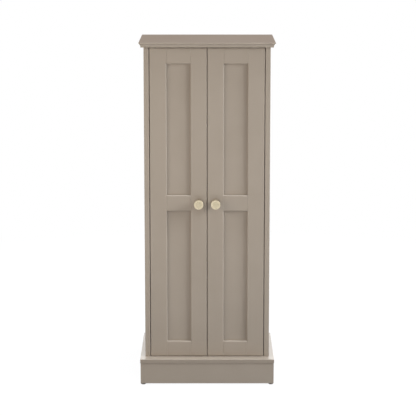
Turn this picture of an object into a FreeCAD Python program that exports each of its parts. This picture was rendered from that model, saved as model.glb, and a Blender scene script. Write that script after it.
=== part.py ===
import FreeCAD, Part
import math
import os

from FreeCAD import Vector

os.makedirs("parts", exist_ok=True)

# A tall two-door bathroom cabinet, in millimetres. +Z is up and the doors face -Y.
# The origin is on the floor, below the middle of the cabinet.

# Outline
WIDTH = 400.0
DEPTH = 320.0
HEIGHT = 1022.0
BOARD = 12.0
PLANK = 15.0
BODY_WIDTH = 371.0
LEDGE = 36.0
ARRIS = 1.2

# Top board, and its edge from the top down: lip, step and hollow
TOP_BOARD = 14.0
LIP_HEIGHT = 2.5
STEP_DEPTH = 2.2
STEP_HEIGHT = 1.0
HOLLOW_DEPTH = 4.0

# Plinth and glides
PLINTH_HEIGHT = 62.0
PLINTH_INSET = 1.0
BLOCK_LEG = 32.0
BLOCK_HEIGHT = 25.0
BLOCK_SCREW_FROM_CORNER = 10.0
GLIDE_HEIGHT = 5.0
GLIDE_RADIUS = 7.5
GLIDE_FLAT_RADIUS = 5.0
GLIDE_FROM_SIDE = 7.8
GLIDE_FROM_END = 12.0
NAIL_RADIUS = 1.25
NAIL_LENGTH = 14.0

# Back panel and the rail behind it that is screwed to the wall
BACK = 3.0
GROOVE_DEPTH = 5.0
GROOVE_ROOM = 0.5
RAIL_HEIGHT = 90.0
WALL_HOLE_RADIUS = 2.75
WALL_HOLE_SPACING = 220.0

# Shelves: undersides, and the rows of pin holes round the loose ones
FIXED_SHELF = 543.0
LOOSE_SHELVES = {"upper_shelf": 760.0, "lower_shelf": 298.0}
SHELF_SETBACK = 8.0
SHELF_PLAY = 1.0
PIN_RADIUS = 2.5
PIN_DEPTH = 8.0
PIN_COLUMNS = (-62.0, 98.0)
PIN_PITCH = 32.0
PIN_STEPS = (-3, -2, -1, 0, 1, 2, 3)
PEG_RADIUS = 3.0
PEG_REACH = 8.0

# Cams and dowels between the panels
CAM_RADIUS = 7.5
CAM_DEPTH = 11.5
CAM_SETBACK = 24.0
CAM_PLACES = (-70.0, 92.0)
CAM_RECESS = (6.0, 0.9, 1.5)
BOLT_RADIUS = 3.0
BOLT_START = 2.0
JOINT_BITE = 9.0
DOWEL_RADIUS = 4.0
DOWEL_LENGTH = 30.0
DOWEL_PLACES = (-87.0, 120.0)
PLAY = 0.1

# Doors
SIDE_GAP = 2.0
CENTRE_GAP = 2.0
TOP_GAP = 2.0
BOTTOM_GAP = 1.5
DOOR = 18.0
HINGE_STILE = 49.5
MEETING_STILE = 48.0
TOP_RAIL = 46.5
MIDDLE_RAIL = 48.0
BOTTOM_RAIL = 46.0
MIDDLE_RAIL_HEIGHT = 546.5
FRAME_ROUND = 3.0
RECESS = 8.0
PANEL = 6.0
TONGUE = 8.0
PANEL_ENTRY = 7.0
JOINT_LINE = 0.1
JOINT_GROOVE = 0.5

# Door pivots: the pin's axis is measured from the side panel and from the door face
PIVOT_INSIDE = 15.0
PIVOT_BEHIND = 7.0
PIVOT_RADIUS = 2.5
PIVOT_PLAY = 0.05
PIVOT_REACH = 7.0
LEAF = 2.5
LEAF_WIDTH = 12.0
LEAF_FROM_FACE = 3.0
LEAF_FROM_EDGE = 2.0
LEAF_LENGTH = 34.0
LEAF_SCREWS = (22.5, 31.0)
BUSH_RADIUS = 4.5
BUSH_DEPTH = 8.5
FLANGE_RADIUS = 6.0
FLANGE_CLEARANCE = 0.3

# Screws
SCREW_RADIUS = 1.75
SCREW_HEAD_RADIUS = 3.4
SCREW_HEAD = 1.8
SCREW_RECESS = (2.0, 0.45, 1.1)
LEAF_SCREW = 22.0
STRIKE_SCREW = 14.0

# Knobs, turned, with a raised rim round a shallow dish. Heights are from the door face.
KNOB_RADIUS = 14.0
KNOB_REACH = 28.0
KNOB_HEAD_BACK = 14.0
KNOB_HEAD_COVE = 4.0
KNOB_NECK_RADIUS = 7.0
KNOB_FOOT_RADIUS = 10.5
KNOB_FOOT_HEIGHT = 2.4
KNOB_FOOT_COVE = 2.0
KNOB_ROUND = 1.2
KNOB_RIM = 3.4
KNOB_DISH = 1.0
KNOB_DISH_SLOPE = 0.9
KNOB_SCREW_RADIUS = 2.0
KNOB_SCREW_BITE = 11.0
KNOB_SCREW_HEAD = (4.0, 2.6)
KNOB_SCREW_RECESS = (2.3, 0.5, 1.5)

# Magnetic catches below the top board and strike plates on the doors: width, depth, height
CATCH_SIZE = (46.0, 15.0, 14.0)
CATCH_FROM_CENTRE = 26.0
CATCH_SCREWS = (-18.0, 18.0)
MAGNET_SIZE = (30.0, 12.0, 7.0)
MAGNET_PROUD = 1.5
MAGNET_DROP = 5.0
STRIKE_SIZE = (40.0, 1.2, 12.0)
STRIKE_DROP = 3.0
STRIKE_CLEARANCE = 0.3

# Overshoot of the bars that cut grooves and mouldings
MARGIN = 1.0

# Places that follow from the sizes
FRONT = -DEPTH / 2
REAR = DEPTH / 2
PLINTH_TOP = GLIDE_HEIGHT + PLINTH_HEIGHT
FLOOR = PLINTH_TOP + BOARD
CEILING = HEIGHT - TOP_BOARD
FACE = FRONT + LEDGE
TOP_FRONT = FACE - (WIDTH - BODY_WIDTH) / 2
DOOR_BACK = FACE + DOOR
BODY_X = BODY_WIDTH / 2
INNER_X = BODY_X - PLANK
RAIL_FRONT = REAR - PLANK
BACK_FRONT = RAIL_FRONT - BACK
DOOR_BOTTOM = FLOOR + BOTTOM_GAP
DOOR_TOP = CEILING - TOP_GAP
HINGE_EDGE = INNER_X - SIDE_GAP
MEETING_EDGE = CENTRE_GAP / 2
SIGHT_IN = MEETING_EDGE + MEETING_STILE
SIGHT_OUT = HINGE_EDGE - HINGE_STILE
PIVOT_X = INNER_X - PIVOT_INSIDE
PIVOT_Y = FACE + PIVOT_BEHIND
KNOB_X = MEETING_EDGE + MEETING_STILE / 2
STRIKE_BACK = DOOR_BACK + STRIKE_SIZE[1]

UP = Vector(0, 0, 1)
DOWN = Vector(0, 0, -1)
OUT = Vector(0, -1, 0)
INWARD = Vector(0, 1, 0)
RIGHT = Vector(1, 0, 0)
LEFT = Vector(-1, 0, 0)


def box(x, y, z):
    """Box from its low and high limits along each axis."""
    size = [high - low for low, high in (x, y, z)]
    return Part.makeBox(*size, Vector(x[0], y[0], z[0]))


def block(centre, half):
    """Box from its middle and half of its size."""
    limits = [(middle - abs(reach), middle + abs(reach)) for middle, reach in zip(centre, half)]
    return box(*limits)


def rod(start, direction, radius, length):
    """Round bar from the middle of its first end."""
    return Part.makeCylinder(radius, length, Vector(start), direction)


def prism(outline, bottom, top):
    """Upright bar with the given plan."""
    points = [Vector(x, y, bottom) for x, y in outline + outline[:1]]
    return Part.Face(Part.makePolygon(points)).extrude(UP * (top - bottom))


def turned(outline, centre, axis):
    """Turned solid. The outline is (radius, distance) points, with an arc as (middle, end)."""
    across = UP if near(axis.z, 0) else RIGHT

    def place(point):
        return centre + across * point[0] + axis * point[1]

    edges = []
    start = outline[0]
    for step in outline[1:] + outline[:1]:
        if isinstance(step[0], tuple):
            middle, end = step
            edges.append(Part.Arc(place(start), place(middle), place(end)).toShape())
        else:
            end = step
            edges.append(Part.LineSegment(place(start), place(end)).toShape())
        start = end
    return Part.Face(Part.Wire(edges)).revolve(centre, axis, 360)


def quarter(centre, radius, start_degrees, turn):
    """Middle and end of a quarter circle for such an outline. It turns left for 1, right for -1."""

    def point(degrees):
        angle = math.radians(degrees)
        return (centre[0] + radius * math.cos(angle), centre[1] + radius * math.sin(angle))

    return (point(start_degrees + turn * 45), point(start_degrees + turn * 90))


def near(a, b):
    return abs(a - b) < 0.01


def ease(shape, radius, wanted):
    """Rounds the edges whose middle passes the test."""
    return shape.makeFillet(radius, [edge for edge in shape.Edges if wanted(edge.CenterOfMass)])


def cross_recess(face, into, size):
    """Crossed driver slots below a face. The size is half their length, half their width, and depth."""
    length, width, depth = size
    along = RIGHT if near(into.x, 0) else UP
    across = into.cross(along)
    return [
        block(face, along * length + across * width + into * depth),
        block(face, along * width + across * length + into * depth),
    ]


def screw_hole(head_face, direction, length):
    return countersunk(head_face, direction, length, PLAY)


def screw(head_face, direction, length):
    """Countersunk screw from the flat of its head."""
    body = countersunk(head_face, direction, length, 0.0)
    return body.cut(cross_recess(head_face, direction, SCREW_RECESS))


def countersunk(head_face, direction, length, play):
    shank = rod(head_face, direction, SCREW_RADIUS + play, length + play)
    cone = Part.makeCone(SCREW_HEAD_RADIUS + play, SCREW_RADIUS + play, SCREW_HEAD, head_face, direction)
    return cone.fuse(shank).removeSplitter()


def mirrored(shape):
    return shape.mirror(Vector(0, 0, 0), RIGHT)


def both_sides(shapes):
    return shapes + [mirrored(shape) for shape in shapes]


def save(node, *solids):
    shape = solids[0] if len(solids) == 1 else Part.makeCompound(solids)
    shape.exportStep("parts/" + node + ".step")


def save_pair(node, *right_solids):
    """A piece of the right side, and its mirror image on the left."""
    save("right_" + node, *right_solids)
    save("left_" + node, *[mirrored(solid) for solid in right_solids])


# Panel joints on the right side. The side panel stands between the boards, with its cams in its
# inner face. The fixed shelf meets the side panel, with its cams underneath.

def cam_joints():
    """Each cam's middle on the open face, the way into the panel, and the way its bolt points."""
    joints = []
    for y in CAM_PLACES:
        joints.append((Vector(INNER_X, y, CEILING - CAM_SETBACK), RIGHT, UP))
        joints.append((Vector(INNER_X, y, FLOOR + CAM_SETBACK), RIGHT, DOWN))
        joints.append((Vector(INNER_X - CAM_SETBACK, y, FIXED_SHELF), UP, RIGHT))
    return joints


def cam_disc(centre, into, bolt_way):
    """Round cam with a crossed driver slot and the socket that draws its bolt."""
    disc = rod(centre, into, CAM_RADIUS, CAM_DEPTH)
    return disc.cut(cross_recess(centre, into, CAM_RECESS) + [cam_bolt(centre, into, bolt_way, PLAY)])


def cam_bolt(centre, into, bolt_way, play=0.0):
    start = centre + into * (PLANK / 2) + bolt_way * (BOLT_START - play)
    length = CAM_SETBACK - BOLT_START + JOINT_BITE + 2 * play
    return rod(start, bolt_way, BOLT_RADIUS + play, length)


def dowel(y, play=0.0):
    """Dowels at one distance from the front: into the top board, the base board and the shelf."""
    radius = DOWEL_RADIUS + play
    length = DOWEL_LENGTH + 2 * play
    reach = JOINT_BITE + play
    middle_x = INNER_X + PLANK / 2
    return [
        rod((middle_x, y, CEILING + reach), DOWN, radius, length),
        rod((middle_x, y, FLOOR - reach), UP, radius, length),
        rod((INNER_X + reach, y, FIXED_SHELF + PLANK / 2), LEFT, radius, length),
    ]


cams = [cam_disc(*joint) for joint in cam_joints()]
bolts = [cam_bolt(*joint) for joint in cam_joints()]
dowels = [piece for y in DOWEL_PLACES for piece in dowel(y)]
joint_holes = [piece for y in DOWEL_PLACES for piece in dowel(y, PLAY)]
for centre, into, bolt_way in cam_joints():
    joint_holes.append(rod(centre, into, CAM_RADIUS + PLAY, CAM_DEPTH + PLAY))
    joint_holes.append(cam_bolt(centre, into, bolt_way, PLAY))
save("cam_discs", *both_sides(cams))
save("cam_bolts", *both_sides(bolts))
save("panel_dowels", *both_sides(dowels))


# Pivot bushes, let into the top board and the base board

def bush(board_face, into, gap):
    """Flanged bush. Its flange takes up the gap at the door's end."""
    middle = Vector(PIVOT_X, PIVOT_Y, board_face)
    shell = rod(middle, into, BUSH_RADIUS, BUSH_DEPTH)
    flange = rod(middle, into * -1, FLANGE_RADIUS, gap - FLANGE_CLEARANCE)
    bore = rod(middle - into * gap, into, PIVOT_RADIUS + PIVOT_PLAY, gap + BUSH_DEPTH)
    return shell.fuse(flange).cut(bore).removeSplitter()


def bush_hole(board_face, into):
    return rod((PIVOT_X, PIVOT_Y, board_face), into, BUSH_RADIUS, BUSH_DEPTH)


save_pair("upper_bush", bush(CEILING, UP, TOP_GAP))
save_pair("lower_bush", bush(FLOOR, DOWN, BOTTOM_GAP))


# Magnetic catches

catch_y = STRIKE_BACK + STRIKE_CLEARANCE + MAGNET_PROUD
catch_bottom = CEILING - CATCH_SIZE[2]


def catch_screw(reach, kind):
    head = Vector(CATCH_FROM_CENTRE + reach, catch_y + CATCH_SIZE[1] / 2, catch_bottom)
    return kind(head, UP, CATCH_SIZE[2] + JOINT_BITE)


magnet = box(
    (CATCH_FROM_CENTRE - MAGNET_SIZE[0] / 2, CATCH_FROM_CENTRE + MAGNET_SIZE[0] / 2),
    (catch_y - MAGNET_PROUD, catch_y - MAGNET_PROUD + MAGNET_SIZE[1]),
    (CEILING - MAGNET_DROP - MAGNET_SIZE[2], CEILING - MAGNET_DROP),
)
catch_body = box(
    (CATCH_FROM_CENTRE - CATCH_SIZE[0] / 2, CATCH_FROM_CENTRE + CATCH_SIZE[0] / 2),
    (catch_y, catch_y + CATCH_SIZE[1]),
    (catch_bottom, CEILING),
)
catch_body = ease(catch_body, ARRIS, lambda middle: near(middle.z, catch_bottom))
catch_holes = [catch_screw(reach, screw_hole) for reach in CATCH_SCREWS]
save_pair("catch_body", catch_body.cut([magnet] + catch_holes))
save_pair("catch_magnet", magnet)
save("catch_screws", *both_sides([catch_screw(reach, screw) for reach in CATCH_SCREWS]))


# Back panel in its grooves, and the wall rail behind it

back_reach = INNER_X + GROOVE_DEPTH
back_groove = box(
    (-back_reach, back_reach),
    (BACK_FRONT, RAIL_FRONT),
    (FLOOR - GROOVE_DEPTH, CEILING + GROOVE_DEPTH),
)
wall_hole_height = CEILING - RAIL_HEIGHT / 2
wall_holes = both_sides([
    rod((WALL_HOLE_SPACING / 2, BACK_FRONT, wall_hole_height), INWARD, WALL_HOLE_RADIUS, BACK + PLANK)
])
back_panel = box(
    (-back_reach + GROOVE_ROOM, back_reach - GROOVE_ROOM),
    (BACK_FRONT, RAIL_FRONT),
    (FLOOR - GROOVE_DEPTH + GROOVE_ROOM, CEILING + GROOVE_DEPTH - GROOVE_ROOM),
)
wall_rail = box((-INNER_X, INNER_X), (RAIL_FRONT, REAR), (CEILING - RAIL_HEIGHT, CEILING))
save("back_panel", back_panel.cut(wall_holes))
save("wall_rail", wall_rail.cut(wall_holes))


# Top board with its moulded edge on the front and the two sides

def edge_waste(corner, inward, along, length):
    """Bar cut from one edge: below the lip, the step and the hollow, an arc that ends upright."""
    lip_under = HEIGHT - LIP_HEIGHT
    hollow_top = lip_under - STEP_HEIGHT
    hollow_end = STEP_DEPTH + HOLLOW_DEPTH
    arc_height = hollow_top - CEILING
    arc_turn = 2 * math.atan2(HOLLOW_DEPTH, arc_height)
    arc_radius = arc_height / math.sin(arc_turn)
    half_across = arc_radius * (1 - math.cos(arc_turn / 2))
    half_up = arc_radius * math.sin(arc_turn / 2)

    def at(depth, z):
        return corner + inward * depth + UP * z

    hollow_half = at(hollow_end - half_across, CEILING + half_up)
    edges = [
        Part.LineSegment(at(-MARGIN, CEILING - MARGIN), at(-MARGIN, lip_under)),
        Part.LineSegment(at(-MARGIN, lip_under), at(STEP_DEPTH, lip_under)),
        Part.LineSegment(at(STEP_DEPTH, lip_under), at(STEP_DEPTH, hollow_top)),
        Part.Arc(at(STEP_DEPTH, hollow_top), hollow_half, at(hollow_end, CEILING)),
        Part.LineSegment(at(hollow_end, CEILING), at(hollow_end, CEILING - MARGIN)),
        Part.LineSegment(at(hollow_end, CEILING - MARGIN), at(-MARGIN, CEILING - MARGIN)),
    ]
    outline = Part.Wire([edge.toShape() for edge in edges])
    return Part.Face(outline).extrude(along * length)


def rim_edge(front, z):
    """Test for the front and side edges of a board of the full width at one height."""
    return lambda middle: near(middle.z, z) and (near(middle.y, front) or near(abs(middle.x), WIDTH / 2))


side_waste = REAR - TOP_FRONT + 2 * MARGIN
top_board = box((-WIDTH / 2, WIDTH / 2), (TOP_FRONT, REAR), (CEILING, HEIGHT))
top_board = top_board.cut([
    edge_waste(Vector(-WIDTH / 2, TOP_FRONT - MARGIN, 0), RIGHT, INWARD, side_waste),
    edge_waste(Vector(WIDTH / 2, TOP_FRONT - MARGIN, 0), LEFT, INWARD, side_waste),
    edge_waste(Vector(-WIDTH / 2 - MARGIN, TOP_FRONT, 0), INWARD, RIGHT, WIDTH + 2 * MARGIN),
])
top_board = ease(top_board, ARRIS, rim_edge(TOP_FRONT, HEIGHT))
top_holes = both_sides(joint_holes + catch_holes + [bush_hole(CEILING, UP)])
save("top_board", top_board.cut(top_holes + [back_groove]))


# Plinth: mitred boards on glides, with glue blocks screwed up into the base board

plinth_x = WIDTH / 2 - PLINTH_INSET
plinth_front = FRONT + PLINTH_INSET
plinth_inner_x = plinth_x - PLANK
plinth_inner_front = plinth_front + PLANK
block_bottom = PLINTH_TOP - BLOCK_HEIGHT
glide_x = plinth_x - GLIDE_FROM_SIDE
glide_places = {"front": plinth_front + GLIDE_FROM_END, "rear": REAR - GLIDE_FROM_END}

glue_blocks = []
block_screws = []
block_screw_holes = []
for corner_y, way in ((plinth_inner_front, 1), (RAIL_FRONT, -1)):
    plan = [
        (plinth_inner_x, corner_y),
        (plinth_inner_x - BLOCK_LEG, corner_y),
        (plinth_inner_x, corner_y + way * BLOCK_LEG),
    ]
    head = Vector(
        plinth_inner_x - BLOCK_SCREW_FROM_CORNER,
        corner_y + way * BLOCK_SCREW_FROM_CORNER,
        block_bottom,
    )
    hole = screw_hole(head, UP, BLOCK_HEIGHT + JOINT_BITE)
    glue_blocks.append(prism(plan, block_bottom, PLINTH_TOP).cut(hole))
    block_screws.append(screw(head, UP, BLOCK_HEIGHT + JOINT_BITE))
    block_screw_holes.append(hole)
save("plinth_glue_blocks", *both_sides(glue_blocks))
save("plinth_screws", *both_sides(block_screws))


def glide(y):
    """Nail-on glide: a low button with a rounded foot and a nail into the plinth board."""
    foot_round = GLIDE_RADIUS - GLIDE_FLAT_RADIUS
    outline = [
        (0, 0),
        (GLIDE_FLAT_RADIUS, 0),
        quarter((GLIDE_FLAT_RADIUS, foot_round), foot_round, 270, 1),
        (GLIDE_RADIUS, GLIDE_HEIGHT),
        (NAIL_RADIUS, GLIDE_HEIGHT),
        (NAIL_RADIUS, GLIDE_HEIGHT + NAIL_LENGTH),
        (0, GLIDE_HEIGHT + NAIL_LENGTH),
    ]
    return turned(outline, Vector(glide_x, y, 0), UP)


nail_holes = []
for end, y in glide_places.items():
    right_glide = glide(y)
    save(end + "_right_glide", right_glide)
    save(end + "_left_glide", mirrored(right_glide))
    start = (glide_x, y, GLIDE_HEIGHT)
    nail_holes.append(rod(start, UP, NAIL_RADIUS + PLAY, NAIL_LENGTH + PLAY))

front_plan = [
    (-plinth_x, plinth_front),
    (plinth_x, plinth_front),
    (plinth_inner_x, plinth_inner_front),
    (-plinth_inner_x, plinth_inner_front),
]
side_plan = [
    (plinth_x, plinth_front),
    (plinth_x, REAR),
    (plinth_inner_x, REAR),
    (plinth_inner_x, plinth_inner_front),
]
front_board = prism(front_plan, GLIDE_HEIGHT, PLINTH_TOP)
side_board = prism(side_plan, GLIDE_HEIGHT, PLINTH_TOP)
front_board = ease(
    front_board, ARRIS, lambda middle: near(middle.y, plinth_front) and near(middle.z, GLIDE_HEIGHT)
)
side_board = ease(
    side_board, ARRIS, lambda middle: near(middle.x, plinth_x) and near(middle.z, GLIDE_HEIGHT)
)
save("plinth_front_board", front_board)
save_pair("plinth_board", side_board.cut(nail_holes))
save(
    "plinth_rear_board",
    box((-plinth_inner_x, plinth_inner_x), (RAIL_FRONT, REAR), (GLIDE_HEIGHT, PLINTH_TOP)),
)


# Base board, the floor of the cabinet

base_board = box((-WIDTH / 2, WIDTH / 2), (FRONT, REAR), (PLINTH_TOP, FLOOR))
base_board = ease(base_board, ARRIS, rim_edge(FRONT, FLOOR))
base_board = ease(base_board, ARRIS, rim_edge(FRONT, PLINTH_TOP))
base_holes = both_sides(joint_holes + block_screw_holes + [bush_hole(FLOOR, DOWN)])
save("base_board", base_board.cut(base_holes + [back_groove]))


# Side panels with rows of holes for the shelf pins

pin_places = [(y, z - PEG_RADIUS) for y in PIN_COLUMNS for z in LOOSE_SHELVES.values()]
pin_holes = [
    rod((INNER_X, y, z + step * PIN_PITCH), RIGHT, PIN_RADIUS + PLAY, PIN_DEPTH + PLAY)
    for y, z in pin_places
    for step in PIN_STEPS
]
side_panel = box((INNER_X, BODY_X), (FACE, REAR), (FLOOR, CEILING))
side_panel = ease(
    side_panel, ARRIS, lambda middle: near(middle.y, FACE) and near(middle.z, (FLOOR + CEILING) / 2)
)
save_pair("side_panel", side_panel.cut(joint_holes + pin_holes + [back_groove]))


# Shelves and their pins

def shelf(reach, front, rear, underside):
    board = box((-reach, reach), (front, rear), (underside, underside + PLANK))
    return ease(board, ARRIS, lambda middle: near(middle.y, front) and near(middle.x, 0))


shelf_front = DOOR_BACK + SHELF_SETBACK
fixed_shelf = shelf(INNER_X, shelf_front, BACK_FRONT, FIXED_SHELF)
save("fixed_shelf", fixed_shelf.cut(both_sides(joint_holes)))
for node, underside in LOOSE_SHELVES.items():
    save(node, shelf(INNER_X - SHELF_PLAY, shelf_front + SHELF_PLAY, BACK_FRONT - SHELF_PLAY, underside))

shelf_pins = []
for y, z in pin_places:
    shank = rod((INNER_X, y, z), RIGHT, PIN_RADIUS, PIN_DEPTH)
    peg = rod((INNER_X, y, z), LEFT, PEG_RADIUS, PEG_REACH)
    shelf_pins.append(shank.fuse(peg).removeSplitter())
save("shelf_pins", *both_sides(shelf_pins))


# Pivots of the right door: a leaf let into the end of the hinge stile, with a pin and two screws

def leaf(end, out_of_door):
    """Recessed plate. Its outer face is flush with the door's end."""
    inner = HINGE_EDGE - LEAF_FROM_EDGE
    z = sorted((end, end - out_of_door.z * LEAF))
    front = FACE + LEAF_FROM_FACE
    return box((inner - LEAF_LENGTH, inner), (front, front + LEAF_WIDTH), z)


def leaf_screws(end, out_of_door, kind):
    y = FACE + LEAF_FROM_FACE + LEAF_WIDTH / 2
    heads = [Vector(HINGE_EDGE - distance, y, end) for distance in LEAF_SCREWS]
    return [kind(head, out_of_door * -1, LEAF_SCREW) for head in heads]


door_ends = {"upper": (DOOR_TOP, UP, TOP_GAP), "lower": (DOOR_BOTTOM, DOWN, BOTTOM_GAP)}
pivot_cuts = []
pivot_screws = []
for name, (end, out_of_door, gap) in door_ends.items():
    plate = leaf(end, out_of_door)
    screw_holes = leaf_screws(end, out_of_door, screw_hole)
    pivot_screws += leaf_screws(end, out_of_door, screw)
    pivot_cuts += [plate] + screw_holes
    pin = rod((PIVOT_X, PIVOT_Y, end), out_of_door, PIVOT_RADIUS, gap + PIVOT_REACH)
    save_pair(name + "_pivot", plate.cut(screw_holes).fuse(pin).removeSplitter())
save_pair("pivot_screws", *pivot_screws)


# Knob of the right door, and the screw that holds it from behind

def knob():
    """Foot, coved neck, and a thick head whose face has a rim round a shallow dish."""
    foot_inner = KNOB_FOOT_RADIUS - KNOB_ROUND
    foot_cove = KNOB_NECK_RADIUS + KNOB_FOOT_COVE
    head_cove = KNOB_NECK_RADIUS + KNOB_HEAD_COVE
    head_inner = KNOB_RADIUS - KNOB_ROUND
    rim_inner = head_inner - KNOB_RIM
    dish = KNOB_REACH - KNOB_DISH
    outline = [
        (0, 0),
        (KNOB_FOOT_RADIUS, 0),
        (KNOB_FOOT_RADIUS, KNOB_FOOT_HEIGHT - KNOB_ROUND),
        quarter((foot_inner, KNOB_FOOT_HEIGHT - KNOB_ROUND), KNOB_ROUND, 0, 1),
        (foot_cove, KNOB_FOOT_HEIGHT),
        quarter((foot_cove, KNOB_FOOT_HEIGHT + KNOB_FOOT_COVE), KNOB_FOOT_COVE, 270, -1),
        (KNOB_NECK_RADIUS, KNOB_HEAD_BACK - KNOB_HEAD_COVE),
        quarter((head_cove, KNOB_HEAD_BACK - KNOB_HEAD_COVE), KNOB_HEAD_COVE, 180, -1),
        (head_inner, KNOB_HEAD_BACK),
        quarter((head_inner, KNOB_HEAD_BACK + KNOB_ROUND), KNOB_ROUND, 270, 1),
        (KNOB_RADIUS, KNOB_REACH - KNOB_ROUND),
        quarter((head_inner, KNOB_REACH - KNOB_ROUND), KNOB_ROUND, 0, 1),
        (rim_inner, KNOB_REACH),
        (rim_inner - KNOB_DISH_SLOPE, dish),
        (0, dish),
    ]
    return turned(outline, Vector(KNOB_X, FACE, MIDDLE_RAIL_HEIGHT), OUT)


def knob_screw(play=0.0):
    start = (KNOB_X, DOOR_BACK, MIDDLE_RAIL_HEIGHT)
    return rod(start, OUT, KNOB_SCREW_RADIUS + play, DOOR + KNOB_SCREW_BITE + play)


head_radius, head_height = KNOB_SCREW_HEAD
screw_head = rod((KNOB_X, DOOR_BACK, MIDDLE_RAIL_HEIGHT), INWARD, head_radius, head_height)
screw_head = ease(screw_head, ARRIS, lambda middle: near(middle.y, DOOR_BACK + head_height))
head_face = Vector(KNOB_X, DOOR_BACK + head_height, MIDDLE_RAIL_HEIGHT)
screw_body = knob_screw().fuse(screw_head).removeSplitter()
save_pair("knob", knob().cut(knob_screw(PLAY)))
save_pair("knob_screw", screw_body.cut(cross_recess(head_face, OUT, KNOB_SCREW_RECESS)))


# Strike plate of the right door

strike_top = DOOR_TOP - STRIKE_DROP
strike_middle = Vector(CATCH_FROM_CENTRE, STRIKE_BACK, strike_top - STRIKE_SIZE[2] / 2)
strike_hole = screw_hole(strike_middle, OUT, STRIKE_SCREW)
strike_plate = box(
    (CATCH_FROM_CENTRE - STRIKE_SIZE[0] / 2, CATCH_FROM_CENTRE + STRIKE_SIZE[0] / 2),
    (DOOR_BACK, STRIKE_BACK),
    (strike_top - STRIKE_SIZE[2], strike_top),
)
save_pair("strike_plate", strike_plate.cut(strike_hole))
save_pair("strike_screw", screw(strike_middle, OUT, STRIKE_SCREW))


# Frame and panels of the right door. The frame is eased as one piece, gets a fine V-groove along
# its joints, and is then parted there. Rails have tongues in the grooves of the stiles.

lower_sight = (DOOR_BOTTOM + BOTTOM_RAIL, MIDDLE_RAIL_HEIGHT - MIDDLE_RAIL / 2)
upper_sight = (MIDDLE_RAIL_HEIGHT + MIDDLE_RAIL / 2, DOOR_TOP - TOP_RAIL)
sight_x = (SIGHT_IN, SIGHT_OUT)
thickness = (FACE, DOOR_BACK)
groove_y = (FACE + RECESS, FACE + RECESS + PANEL)
door_height = (DOOR_BOTTOM, DOOR_TOP)


def on_sight_line(middle):
    between_stiles = SIGHT_IN - MARGIN < middle.x < SIGHT_OUT + MARGIN
    return between_stiles and DOOR_BOTTOM + MARGIN < middle.z < DOOR_TOP - MARGIN


def joint_groove(x, rail_z):
    """Three-sided bar that cuts the V-groove where a rail meets a stile."""
    half_width = JOINT_GROOVE + MARGIN
    outline = [
        (x - half_width, FACE - MARGIN),
        (x + half_width, FACE - MARGIN),
        (x, FACE + JOINT_GROOVE),
    ]
    return prism(outline, *rail_z)


rails = {
    "bottom_rail": (DOOR_BOTTOM, lower_sight[0]),
    "middle_rail": (lower_sight[1], upper_sight[0]),
    "top_rail": (upper_sight[1], DOOR_TOP),
}
frame = box((MEETING_EDGE, HINGE_EDGE), thickness, door_height)
frame = frame.cut([box(sight_x, thickness, sight) for sight in (lower_sight, upper_sight)])
frame = ease(frame, FRAME_ROUND, lambda middle: near(middle.y, FACE) and on_sight_line(middle))
frame = ease(frame, ARRIS, lambda middle: near(middle.y, FACE) and not on_sight_line(middle))
frame = frame.cut([joint_groove(x, rail_z) for x in sight_x for rail_z in rails.values()])

stile_cuts = pivot_cuts + [knob_screw(PLAY), strike_hole]
stiles = {
    "meeting_stile": ((MEETING_EDGE, SIGHT_IN), (SIGHT_IN - TONGUE, SIGHT_IN)),
    "hinge_stile": ((SIGHT_OUT, HINGE_EDGE), (SIGHT_OUT, SIGHT_OUT + TONGUE)),
}
for node, (stile_x, groove_x) in stiles.items():
    stile = frame.common(box(stile_x, thickness, door_height))
    save_pair(node, stile.cut(stile_cuts + [box(groove_x, groove_y, door_height)]))

tongue_x = (SIGHT_IN - TONGUE, SIGHT_OUT + TONGUE)
rail_x = (SIGHT_IN + JOINT_LINE, SIGHT_OUT - JOINT_LINE)
panel_grooves = [
    box(tongue_x, groove_y, (sight[0] - TONGUE, sight[1] + TONGUE))
    for sight in (lower_sight, upper_sight)
]
for node, rail_z in rails.items():
    rail = frame.common(box(rail_x, thickness, rail_z))
    tongue = box(tongue_x, groove_y, rail_z)
    save_pair(node, rail.fuse(tongue).cut(panel_grooves).removeSplitter())

panel_x = (SIGHT_IN - PANEL_ENTRY, SIGHT_OUT + PANEL_ENTRY)
for node, sight in (("lower_panel", lower_sight), ("upper_panel", upper_sight)):
    save_pair(node, box(panel_x, groove_y, (sight[0] - PANEL_ENTRY, sight[1] + PANEL_ENTRY)))
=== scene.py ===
import math

import bpy
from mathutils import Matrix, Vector


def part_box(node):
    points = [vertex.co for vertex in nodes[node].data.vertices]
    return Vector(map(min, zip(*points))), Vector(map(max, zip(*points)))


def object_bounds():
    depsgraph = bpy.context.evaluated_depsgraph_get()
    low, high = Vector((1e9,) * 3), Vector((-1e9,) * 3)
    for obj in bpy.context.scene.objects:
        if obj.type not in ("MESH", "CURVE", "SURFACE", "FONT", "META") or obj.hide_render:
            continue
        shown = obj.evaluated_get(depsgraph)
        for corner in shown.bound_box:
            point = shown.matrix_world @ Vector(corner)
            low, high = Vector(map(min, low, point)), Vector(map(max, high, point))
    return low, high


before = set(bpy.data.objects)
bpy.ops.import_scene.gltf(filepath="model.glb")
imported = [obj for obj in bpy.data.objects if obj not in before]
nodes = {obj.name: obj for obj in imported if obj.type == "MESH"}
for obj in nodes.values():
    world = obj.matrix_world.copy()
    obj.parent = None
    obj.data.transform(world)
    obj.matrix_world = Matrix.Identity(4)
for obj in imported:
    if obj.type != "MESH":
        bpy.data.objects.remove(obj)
cad_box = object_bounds()


# Plinth: four boards of fibreboard, mitred at the front corners, glued and painted with the rest.
# The paint is a satin taupe, sprayed over sanded board, with a fine orange peel, faint sanding
# lines and a paler painted highlight on the eased edges that face out or up. A painted shadow of
# the base board's edge darkens its top.

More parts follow.
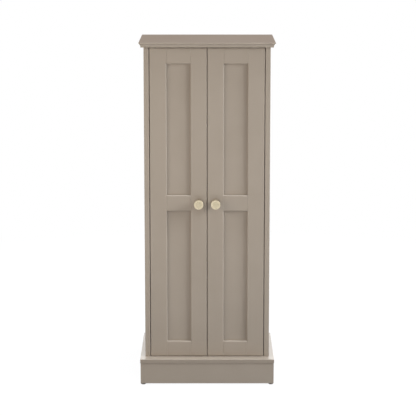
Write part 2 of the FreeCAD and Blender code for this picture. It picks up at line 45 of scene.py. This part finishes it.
PAINT_DEEP = (0.343, 0.280, 0.220, 1.0)
PAINT_PALE = (0.367, 0.301, 0.240, 1.0)
ARRIS_HIGHLIGHT = (0.391, 0.326, 0.266, 1.0)
PAINT_ROUGHNESS = 0.24
HIGHLIGHT_SHARE = 0.75
FLAT_FACE = 0.995
FULL_ROUND = 0.9
FACING_DOWN = -0.2
CLOUD_SIZE = 0.12
WAVE_SIZE = 0.02
PEEL_SIZE = 0.0014
PEEL_DEPTH = 0.00012
PEEL_STRENGTH = 0.35
SANDING_WIDTH = 0.0009
SANDING_STRETCH = 25.0
PAINTED_SHADOW_COLOUR = (0.16, 0.125, 0.095, 1.0)
PAINTED_SHADOW_SHARE = 0.36
PAINTED_SHADOW_REACH = 0.006


class Shade:
    """One socket of a shader. Sums, differences and products of shades add Math nodes."""

    def __init__(self, tree, socket=None):
        self.tree = tree
        self.socket = socket

    def node(self, kind, settings=(), inputs=(), output=0):
        """Any other node: its type, its settings, then the values or links of its sockets."""
        made = self.tree.nodes.new(kind)
        for name, value in dict(settings).items():
            setattr(made, name, value)
        for name, value in dict(inputs).items():
            if isinstance(value, Shade):
                self.tree.links.new(value.socket, made.inputs[name])
            else:
                made.inputs[name].default_value = value
        return Shade(self.tree, made.outputs[output] if made.outputs else None)

    def math(self, operation, *values):
        return self.node("ShaderNodeMath", {"operation": operation}, dict(enumerate(values)))

    def __add__(self, other):
        return self.math("ADD", self, other)

    def __sub__(self, other):
        return self.math("SUBTRACT", self, other)

    def __rsub__(self, other):
        return self.math("SUBTRACT", other, self)

    def __mul__(self, other):
        return self.math("MULTIPLY", self, other)

    def __abs__(self):
        return self.math("ABSOLUTE", self)

    __radd__ = __add__
    __rmul__ = __mul__


def empty_finish(name):
    """A material without nodes, and the start of its shader expressions."""
    material = bpy.data.materials.new(name)
    material.use_nodes = True
    material.node_tree.nodes.clear()
    return material, Shade(material.node_tree)


def new_finish(name):
    """A new material, the start of its shader expressions, and its surface shader."""
    material, start = empty_finish(name)
    surface = start.node("ShaderNodeBsdfPrincipled")
    start.node("ShaderNodeOutputMaterial", inputs={"Surface": surface})
    return material, start, surface.socket.node


def feed(surface, **sockets):
    """Sets the surface shader's sockets, named with underscores, to numbers, colours or shades."""
    tree = surface.id_data
    for name, value in sockets.items():
        socket = surface.inputs[name.replace("_", " ")]
        if isinstance(value, Shade):
            tree.links.new(value.socket, socket)
        else:
            socket.default_value = value


def speckle(place, size, detail=2.0):
    """Noise from 0 to 1 whose features are about the given size, in metres."""
    return place.node(
        "ShaderNodeTexNoise", inputs={"Vector": place, "Scale": 1.0 / size, "Detail": detail}
    )


def stretched(place, along, stretch):
    """Places squeezed along one axis, so that noise on them runs in lines that way."""
    scale = [1.0 / stretch if axis == along else 1.0 for axis in "xyz"]
    return place.node("ShaderNodeMapping", inputs={"Vector": place, "Scale": scale})


def blend(factor, first, second):
    """Colour between two colours. Sockets 0, 6 and 7 of Mix are its factor and its two colours."""
    return factor.node(
        "ShaderNodeMix", {"data_type": "RGBA"}, {0: factor, 6: first, 7: second}, output=2
    )


def ramp(value, low, high):
    """0 below low, 1 above high, and straight between them."""
    return value.node(
        "ShaderNodeMapRange", inputs={"Value": value, "From Min": low, "From Max": high}
    )


def spread(noise, low=0.3, high=0.7):
    """Noise spread over 0 to 1, because raw noise seldom goes below 0.3 or above 0.7."""
    return ramp(noise, low, high)


def parts_of(vector):
    """The x, y and z of a vector."""
    return [
        vector.node("ShaderNodeSeparateXYZ", inputs={"Vector": vector}, output=axis)
        for axis in range(3)
    ]


def raised(height, strength, depth):
    """Bumps that stand up by a depth, in metres, where the height is 1."""
    return height.node(
        "ShaderNodeBump", inputs={"Height": height, "Strength": strength, "Distance": depth}
    )


def highlit_edges(start):
    """Where the painted highlight goes: 1 on rounded edges that face out or up, and 0 on the flats
    and on all that faces down.
    """
    turn = parts_of(start.node("ShaderNodeTexCoord", output="Normal"))
    x, y, z = [abs(part) for part in turn]
    flatness = start.math("MAXIMUM", start.math("MAXIMUM", x, y), z)
    return ramp(flatness, FLAT_FACE, FULL_ROUND) * ramp(turn[2], FACING_DOWN, 0.0)


def taupe(start, along):
    """Colour, roughness and bump of the paint on a board that was sanded along one axis."""
    place = start.node("ShaderNodeTexCoord", output="Object")
    clouds = speckle(place, CLOUD_SIZE)
    peel = speckle(place, PEEL_SIZE)
    waves = speckle(place, WAVE_SIZE, detail=1.0)
    lines = speckle(stretched(place, along, SANDING_STRETCH), SANDING_WIDTH)
    tone = 0.62 * clouds + 0.22 * lines + 0.16 * peel
    flat_colour = blend(spread(tone, 0.32, 0.68), PAINT_DEEP, PAINT_PALE)
    # Painted highlight: a paler colour on the eased edges that face out or up, and none on those that
    # face down.
    colour = blend(HIGHLIGHT_SHARE * highlit_edges(start), flat_colour, ARRIS_HIGHLIGHT)
    roughness = PAINT_ROUGHNESS + 0.08 * clouds + 0.06 * lines
    height = 0.55 * peel + 0.3 * waves + 0.15 * lines
    return colour, roughness, raised(height, PEEL_STRENGTH, PEEL_DEPTH)


def plinth_board(name, along, joint):
    """Taupe paint with a painted shadow in a band below a joint at the given height."""
    material, start, surface = new_finish(name)
    colour, roughness, bump = taupe(start, along)
    _, _, z = parts_of(start.node("ShaderNodeTexCoord", output="Object"))
    # Painted shadow: darker paint, strongest at the joint and fading over a few millimetres below it,
    # where the base board's edge shades the plinth.
    painted_shadow = PAINTED_SHADOW_SHARE * ramp(z, joint - PAINTED_SHADOW_REACH, joint)
    feed(surface, Base_Color=blend(painted_shadow, colour, PAINTED_SHADOW_COLOUR), Roughness=roughness, Normal=bump)
    return material


def give(material, *names):
    for name in names:
        slots = nodes[name].data.materials
        slots.clear()
        slots.append(material)


plinth_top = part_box("plinth_front_board")[1].z
plinth_across = plinth_board("taupe_paint_plinth_across", "x", plinth_top)
plinth_sides = plinth_board("taupe_paint_plinth_sides", "y", plinth_top)
give(plinth_across, "plinth_front_board", "plinth_rear_board")
give(plinth_sides, "left_plinth_board", "right_plinth_board")


# Glides: low buttons of warm grey nylon, moulded round a nail and driven into the plinth boards.
# Four of them keep the painted edges off a wet floor.

GREY_DULL = (0.25, 0.222, 0.195, 1.0)
GREY_CLEAN = (0.32, 0.288, 0.255, 1.0)
GREY_ROUGHNESS = 0.42
NYLON_CLOUD = 0.006
NYLON_GRAIN = 0.0005
NYLON_DEPTH = 0.00005


def moulded_nylon(name, dull, clean, roughness):
    """Nylon with a faint mould texture and slight clouding."""
    material, start, surface = new_finish(name)
    place = start.node("ShaderNodeTexCoord", output="Object")
    clouds = speckle(place, NYLON_CLOUD)
    grain = speckle(place, NYLON_GRAIN)
    feed(
        surface,
        Base_Color=blend(spread(0.7 * clouds + 0.3 * grain), dull, clean),
        Roughness=roughness + 0.12 * clouds,
        Normal=raised(grain, 0.3, NYLON_DEPTH),
    )
    return material


grey_nylon = moulded_nylon("grey_nylon", GREY_DULL, GREY_CLEAN, GREY_ROUGHNESS)
give(grey_nylon, "front_left_glide", "front_right_glide", "rear_left_glide", "rear_right_glide")


# Glue blocks: triangular offcuts of beech in the plinth's corners, and the dowels of the panel
# joints. Bare wood, with fine dark flecks along the grain, which runs along the block.

BEECH_DARK = (0.42, 0.265, 0.14, 1.0)
BEECH_PALE = (0.60, 0.425, 0.26, 1.0)
BEECH_FLECK = (0.30, 0.17, 0.085, 1.0)
GRAIN_WIDTH = 0.0035
GRAIN_STRETCH = 14.0
GRAIN_DEPTH = 0.00015
FLECK_WIDTH = 0.0011
FLECK_STRETCH = 8.0
FLECK_RANGE = (0.66, 0.74)


def bare_beech(name, along):
    material, start, surface = new_finish(name)
    place = start.node("ShaderNodeTexCoord", output="Object")
    grain = speckle(stretched(place, along, GRAIN_STRETCH), GRAIN_WIDTH, detail=4.0)
    flecks = ramp(speckle(stretched(place, along, FLECK_STRETCH), FLECK_WIDTH), *FLECK_RANGE)
    wood = blend(spread(grain), BEECH_DARK, BEECH_PALE)
    feed(
        surface,
        Base_Color=blend(0.8 * flecks, wood, BEECH_FLECK),
        Roughness=0.62 + 0.14 * grain,
        Normal=raised(grain - 0.4 * flecks, 0.4, GRAIN_DEPTH),
    )
    return material


give(bare_beech("bare_beech_upright", "z"), "plinth_glue_blocks")
give(bare_beech("bare_beech_across", "x"), "panel_dowels")


# Steel hardware: screws, cams and their bolts, shelf pins, pivots and strike plates, all pressed
# or turned and zinc plated, with a soft bluish shine and faint cloudy crystals in the plating.

ZINC_DULL = (0.50, 0.505, 0.50, 1.0)
ZINC_BRIGHT = (0.66, 0.665, 0.655, 1.0)
ZINC_CLOUD = 0.004
CRYSTALS_PER_METRE = 900.0
SCRATCH_WIDTH = 0.0004
SCRATCH_STRETCH = 20.0
SCRATCH_DEPTH = 0.00003


def zinc_plate(name):
    material, start, surface = new_finish(name)
    place = start.node("ShaderNodeTexCoord", output="Object")
    crystals = place.node(
        "ShaderNodeTexVoronoi", inputs={"Vector": place, "Scale": CRYSTALS_PER_METRE}
    )
    clouds = speckle(place, ZINC_CLOUD)
    scratches = speckle(stretched(place, "x", SCRATCH_STRETCH), SCRATCH_WIDTH)
    tone = 0.45 * clouds + 0.35 * crystals + 0.2 * scratches
    feed(
        surface,
        Base_Color=blend(spread(tone, 0.25, 0.65), ZINC_DULL, ZINC_BRIGHT),
        Metallic=1.0,
        Roughness=0.26 + 0.16 * clouds + 0.08 * scratches,
        Normal=raised(scratches, 0.15, SCRATCH_DEPTH),
    )
    return material


zinc_steel = zinc_plate("zinc_steel")
give(zinc_steel, "plinth_screws", "cam_discs", "cam_bolts")


# Base board: painted fibreboard, screwed to the plinth's blocks from below. Its cut edges drink
# the paint, so they dry duller than the ledge above them, and a painted shade makes them darker.

EDGE_SHADE = (0.296, 0.241, 0.190, 1.0)
EDGE_SHADE_SHARE = 0.6
EDGE_DULLING = 0.2
EDGE_RANGE = (0.05, 0.35)


def base_paint(name):
    material, start, surface = new_finish(name)
    colour, roughness, bump = taupe(start, "x")
    _, _, up = parts_of(start.node("ShaderNodeTexCoord", output="Normal"))
    # Painted shade darkens the upright edges, and extra roughness dulls them.
    edge = 1.0 - ramp(abs(up), *EDGE_RANGE)
    feed(
        surface,
        Base_Color=blend(EDGE_SHADE_SHARE * edge, colour, EDGE_SHADE),
        Roughness=roughness + EDGE_DULLING * edge,
        Normal=bump,
    )
    return material


give(base_paint("taupe_paint_base"), "base_board")


# Carcass boards: top board with its moulded edge, side panels and the fixed shelf. Painted
# fibreboard on every face. The drilled rows in the side panels show the bare brown board.

FIBRE_DARK = (0.20, 0.125, 0.065, 1.0)
FIBRE_PALE = (0.36, 0.245, 0.14, 1.0)
FIBRE_SIZE = 0.0006
FIBRE_DULLING = 0.35
PAINT_SKIN = 0.0003
EDGE_ROOM = 0.004


def bare_fibre(place):
    """Colour of raw fibreboard, a felt of short fibres."""
    return blend(spread(speckle(place, FIBRE_SIZE, detail=4.0)), FIBRE_DARK, FIBRE_PALE)


def drilled_board(name, along, inner_face, outer_face, front, rear):
    """Painted board whose drilled holes, between its two faces, are bare fibreboard."""
    material, start, surface = new_finish(name)
    place = start.node("ShaderNodeTexCoord", output="Object")
    x, y, _ = parts_of(place)
    sideways = abs(x)
    inside = start.math("GREATER_THAN", sideways, inner_face + PAINT_SKIN)
    inside = inside * start.math("LESS_THAN", sideways, outer_face - PAINT_SKIN)
    inside = inside * start.math("GREATER_THAN", y, front) * start.math("LESS_THAN", y, rear)
    colour, roughness, bump = taupe(start, along)
    feed(
        surface,
        Base_Color=blend(inside, colour, bare_fibre(place)),
        Roughness=roughness + FIBRE_DULLING * inside,
        Normal=bump,
    )
    return material


def painted_board(name, along):
    material, start, surface = new_finish(name)
    colour, roughness, bump = taupe(start, along)
    feed(surface, Base_Color=colour, Roughness=roughness, Normal=bump)
    return material


side_low, side_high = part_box("right_side_panel")
back_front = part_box("back_panel")[0].y
drilled_upright = drilled_board(
    "taupe_paint_drilled",
    along="z",
    inner_face=side_low.x,
    outer_face=side_high.x,
    front=side_low.y + EDGE_ROOM,
    rear=back_front - EDGE_ROOM,
)
paint_across = painted_board("taupe_paint_across", "x")
give(paint_across, "top_board", "fixed_shelf")
give(drilled_upright, "left_side_panel", "right_side_panel")


# Back: a thin hardboard panel in grooves, painted on the inside and bare behind, where its rough
# face carries the print of the wire mesh that it was pressed on. A painted wall rail is behind it.

HARDBOARD_DARK = (0.15, 0.088, 0.045, 1.0)
HARDBOARD_PALE = (0.235, 0.145, 0.078, 1.0)
HARDBOARD_FELT = 0.0009
HARDBOARD_CLOUD = 0.09
HARDBOARD_DULLING = 0.4
MESH_PITCH = 0.0016
MESH_DEPTH = 0.0002


def hardboard(name):
    """Paint where the panel faces forwards, and a print of sine waves across and up behind."""
    material, start, surface = new_finish(name)
    place = start.node("ShaderNodeTexCoord", output="Object")
    _, facing, _ = parts_of(start.node("ShaderNodeTexCoord", output="Normal"))
    behind = ramp(facing, 0.4, 0.6)
    x, _, z = parts_of(place)
    turns = 2 * math.pi / MESH_PITCH
    mesh = start.math("SINE", x * turns) * start.math("SINE", z * turns)
    felt = speckle(place, HARDBOARD_FELT, detail=4.0)
    clouds = speckle(place, HARDBOARD_CLOUD)
    tone = 0.5 * felt + 0.35 * clouds + 0.075 * (mesh + 1.0)
    rough_face = blend(spread(tone), HARDBOARD_DARK, HARDBOARD_PALE)
    colour, roughness, _ = taupe(start, "z")
    feed(
        surface,
        Base_Color=blend(behind, colour, rough_face),
        Roughness=roughness + HARDBOARD_DULLING * behind,
        Normal=raised(behind * (mesh + felt), 0.5, MESH_DEPTH),
    )
    return material


give(hardboard("hardboard"), "back_panel")
give(paint_across, "wall_rail")


# Loose shelves: painted boards, each of which lies on four steel pins in the drilled rows, so that
# it can be lifted out and set higher or lower.

give(paint_across, "upper_shelf", "lower_shelf")
give(zinc_steel, "shelf_pins")


# Pivots: each door hangs on steel leaves, let into the ends of its hinge stile, whose pins turn
# in flanged nylon bushes in the top board and the base board.

SIDES = ("left", "right")

for side in SIDES:
    give(grey_nylon, side + "_upper_bush", side + "_lower_bush")
    give(zinc_steel, side + "_upper_pivot", side + "_lower_pivot", side + "_pivot_screws")


# Doors: stiles and rails of painted board round two recessed panels, sanded and sprayed as one
# frame. The grain of the sanding follows each piece, and a fine V-groove marks the joints.

paint_upright = painted_board("taupe_paint_upright", "z")
for side in SIDES:
    give(paint_upright, side + "_hinge_stile", side + "_meeting_stile")
    give(paint_upright, side + "_upper_panel", side + "_lower_panel")
    give(paint_across, side + "_top_rail", side + "_middle_rail", side + "_bottom_rail")


# Knobs: turned from bar in pale brass and lacquered satin. Fine turning rings show on the face,
# and the shallow dish inside the rim is left duller than the polished rim.

BRASS_DULL = (0.545, 0.47, 0.325, 1.0)
BRASS_BRIGHT = (0.79, 0.695, 0.51, 1.0)
BRASS_TONE = 0.66
BRASS_ROUGHNESS = 0.24
BRASS_CLOUD = 0.0035
RING_PITCH = 0.00055
RING_DEPTH = 0.00003
RIM_START = 0.0088
RIM_BLUR = 0.0004


def turned_brass(name, centre):
    """Brass with rings round an axis along y, at the same distance on both sides of the middle."""
    material, start, surface = new_finish(name)
    place = start.node("ShaderNodeTexCoord", output="Object")
    x, _, z = parts_of(place)
    across = abs(x) - centre.x
    up = z - centre.z
    radius = start.math("SQRT", across * across + up * up)
    rings = start.math("SINE", radius * (2 * math.pi / RING_PITCH))
    clouds = speckle(place, BRASS_CLOUD)
    dish = 1.0 - ramp(radius, RIM_START - RIM_BLUR, RIM_START + RIM_BLUR)
    tone = BRASS_TONE + 1.5 * (clouds - 0.5) + 0.05 * rings - 0.3 * dish
    feed(
        surface,
        Base_Color=blend(ramp(tone, 0.0, 1.0), BRASS_DULL, BRASS_BRIGHT),
        Metallic=1.0,
        Roughness=BRASS_ROUGHNESS + 0.1 * dish + 0.1 * clouds,
        Normal=raised(rings, 0.2, RING_DEPTH),
    )
    return material


knob_low, knob_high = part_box("right_knob")
pale_brass = turned_brass("pale_brass", (knob_low + knob_high) / 2)
for side in SIDES:
    give(pale_brass, side + "_knob")
    give(zinc_steel, side + "_knob_screw")


# Catches: a dark ferrite magnet in a white nylon case, screwed up under the top board, pulls a
# steel strike plate on the back of each door.

CASE_DULL = (0.66, 0.65, 0.62, 1.0)
CASE_CLEAN = (0.78, 0.77, 0.74, 1.0)
CASE_ROUGHNESS = 0.38
FERRITE_DARK = (0.03, 0.03, 0.033, 1.0)
FERRITE_PALE = (0.085, 0.085, 0.09, 1.0)
FERRITE_GRAIN = 0.0005
FERRITE_DEPTH = 0.00008


def ferrite(name):
    material, start, surface = new_finish(name)
    place = start.node("ShaderNodeTexCoord", output="Object")
    grains = speckle(place, FERRITE_GRAIN, detail=4.0)
    feed(
        surface,
        Base_Color=blend(spread(grains), FERRITE_DARK, FERRITE_PALE),
        Roughness=0.5 + 0.25 * grains,
        Normal=raised(grains, 0.3, FERRITE_DEPTH),
    )
    return material


white_nylon = moulded_nylon("white_nylon", CASE_DULL, CASE_CLEAN, CASE_ROUGHNESS)
magnet = ferrite("ferrite_magnet")
for side in SIDES:
    give(white_nylon, side + "_catch_body")
    give(magnet, side + "_catch_magnet")
    give(zinc_steel, side + "_strike_plate", side + "_strike_screw")
give(zinc_steel, "catch_screws")


# Studio: a white floor and sweep under a long soft light overhead, a broad light on the right, a
# weaker one on the left, a low one behind, and a pale card in front that lights the doors from below.
# Sheets that only reflections show: a brown flag behind the top, the lit sweep and the right lamp.

FLOOR_SIDES = 6.0
FLOOR_FRONT = -8.0
FLOOR_REAR = 3.0
FLOOR_PALE = (0.33, 0.33, 0.33, 1.0)
FLOOR_GLOW = 0.75
GLOW_STRENGTH = 1.25
SHADOW_REACH = 0.8
WHITE_REACH = 2.2
WHITE = (1.0, 1.0, 1.0, 1.0)
WHITE_STRENGTH = 1.0
SKY_STRENGTH = 0.1


def stage_plane(name, corners, material):
    mesh = bpy.data.meshes.new(name)
    mesh.from_pydata(corners, [], [tuple(range(len(corners)))])
    mesh.materials.append(material)
    plane = bpy.data.objects.new(name, mesh)
    bpy.context.scene.collection.objects.link(plane)
    return plane


def seen_directly(start):
    """1 for rays that show the background: from the camera, in reflections and through glass."""
    camera_ray, glossy_ray, clear_ray = [
        start.node("ShaderNodeLightPath", output=name)
        for name in ("Is Camera Ray", "Is Glossy Ray", "Is Transmission Ray")
    ]
    return start.math("MAXIMUM", start.math("MAXIMUM", camera_ray, glossy_ray), clear_ray)


floor_finish, floor_start = empty_finish("white_floor")
floor_paper = floor_start.node("ShaderNodeBsdfDiffuse", inputs={"Color": FLOOR_PALE})
floor_glow = floor_start.node("ShaderNodeEmission", inputs={"Strength": GLOW_STRENGTH})
floor_white = floor_start.node("ShaderNodeEmission", inputs={"Strength": WHITE_STRENGTH})
floor_place = floor_start.node("ShaderNodeTexCoord", output="Object")
from_middle = floor_start.node(
    "ShaderNodeVectorMath", {"operation": "LENGTH"}, {0: floor_place}, output="Value"
)
floor_seen = seen_directly(floor_start)
floor_near = floor_start.node(
    "ShaderNodeMixShader", inputs={0: FLOOR_GLOW * floor_seen, 1: floor_paper, 2: floor_glow}
)
far_share = ramp(from_middle, SHADOW_REACH, WHITE_REACH) * floor_seen
floor_mix = floor_start.node(
    "ShaderNodeMixShader", inputs={0: far_share, 1: floor_near, 2: floor_white}
)
floor_start.node("ShaderNodeOutputMaterial", inputs={"Surface": floor_mix})
stage_plane(
    "floor",
    [
        (-FLOOR_SIDES, FLOOR_FRONT, 0),
        (FLOOR_SIDES, FLOOR_FRONT, 0),
        (FLOOR_SIDES, FLOOR_REAR, 0),
        (-FLOOR_SIDES, FLOOR_REAR, 0),
    ],
    floor_finish,
)


def reflector(name, colour, strength, x, y, z):
    """Upright sheet that only reflections show, with its limits across and up."""
    finish, start = empty_finish(name)
    glow = start.node("ShaderNodeEmission", inputs={"Color": colour, "Strength": strength})
    start.node("ShaderNodeOutputMaterial", inputs={"Surface": glow})
    corners = [(x[0], y, z[0]), (x[1], y, z[0]), (x[1], y, z[1]), (x[0], y, z[1])]
    sheet = stage_plane(name, corners, finish)
    sheet.visible_camera = False
    sheet.visible_diffuse = False
    sheet.visible_shadow = False


FLAG_BROWN = (0.225, 0.136, 0.098, 1.0)
TOP_LEVEL = cad_box[1].z - 0.04
FLAG_Y = cad_box[1].y + 0.35
SWEEP_Y = cad_box[1].y + 1.0
KEY_FACE_Y = -1.8
reflector("flag", FLAG_BROWN, strength=1.0, x=(-1.2, 1.2), y=FLAG_Y, z=(TOP_LEVEL, 2.4))
reflector("lit_sweep", WHITE, strength=2.3, x=(-2.5, 2.5), y=SWEEP_Y, z=(0.0, TOP_LEVEL))
reflector("key_face", WHITE, strength=7.0, x=(2.8, 5.4), y=KEY_FACE_Y, z=(1.2, 3.8))

scene = bpy.context.scene
scene.view_settings.view_transform = "Standard"
scene.world = bpy.data.worlds.new("studio")
scene.world.use_nodes = True
scene.world.node_tree.nodes.clear()
sky = Shade(scene.world.node_tree)
sky_light, sky_white = [
    sky.node("ShaderNodeBackground", inputs={"Color": WHITE, "Strength": strength})
    for strength in (SKY_STRENGTH, WHITE_STRENGTH)
]
sky_mix = sky.node(
    "ShaderNodeMixShader", inputs={0: seen_directly(sky), 1: sky_light, 2: sky_white}
)
sky.node("ShaderNodeOutputWorld", inputs={"Surface": sky_mix})

AIM = Vector((0, -0.12, 0.6))
CARD_PLACE = Vector((0, -1.4, 0.01))
UPWARDS = Vector((0, 0, 1))
REAR_PLACE = Vector((0, 2.2, 0.5))
FORWARDS = Vector((0, -1, 0))
OVERHEAD_TINT = (0.90, 1.015, 1.14)
KEY_TINT = (0.90, 0.97, 1.04)
FILL_TINT = (1.08, 0.99, 0.86)
PLAIN_TINT = (1.0, 1.0, 1.0)


def around(azimuth, elevation, distance):
    """Place round the middle of the cabinet. Azimuth 0 is in front, and 90 on the right."""
    turn, rise = math.radians(azimuth), math.radians(elevation)
    level = math.cos(rise)
    out = Vector((math.sin(turn) * level, -math.cos(turn) * level, math.sin(rise)))
    return AIM + out * distance


def soft_light(name, tint, place, way, width, height, power):
    """Area lamp at a place, which shines one way. Only its light is seen, not the lamp."""
    lamp = bpy.data.lights.new(name, "AREA")
    lamp.shape = "RECTANGLE"
    lamp.size = width
    lamp.size_y = height
    lamp.energy = power
    lamp.color = tint
    holder = bpy.data.objects.new(name, lamp)
    holder.location = place
    holder.rotation_euler = way.to_track_quat("-Z", "Y").to_euler()
    holder.visible_camera = False
    holder.visible_glossy = False
    bpy.context.scene.collection.objects.link(holder)


def aimed_light(name, tint, place, width, height, power):
    """Area lamp that shines on the middle of the cabinet."""
    soft_light(name, tint, place, AIM - place, width, height, power)


overhead_place = around(azimuth=0, elevation=84, distance=9.0)
key_place = around(azimuth=70, elevation=22, distance=5.0)
fill_place = around(azimuth=-55, elevation=14, distance=2.2)
aimed_light("overhead", OVERHEAD_TINT, overhead_place, width=3.0, height=1.1, power=580)
aimed_light("key", KEY_TINT, key_place, width=2.6, height=2.6, power=271)
aimed_light("fill", FILL_TINT, fill_place, width=1.3, height=1.3, power=18)
soft_light("card", PLAIN_TINT, CARD_PLACE, UPWARDS, width=2.6, height=0.8, power=13.9)
soft_light("rear", PLAIN_TINT, REAR_PLACE, FORWARDS, width=1.2, height=0.6, power=25)


# Camera: at the height of a standing viewer's shoulders, with a long lens a good way off, so that
# the cabinet's uprights stay nearly parallel. It looks a little down on the top and the ledge.

CAMERA_PLACE = (0.0026, -5.15, 1.455)
CAMERA_DOWN = math.radians(10.4)
CAMERA_LENS = 149.4

camera = bpy.data.cameras.new("camera")
camera.lens = CAMERA_LENS
viewer = bpy.data.objects.new("camera", camera)
viewer.location = CAMERA_PLACE
viewer.rotation_euler = (math.pi / 2 - CAMERA_DOWN, 0, 0)
scene.collection.objects.link(viewer)
scene.camera = viewer
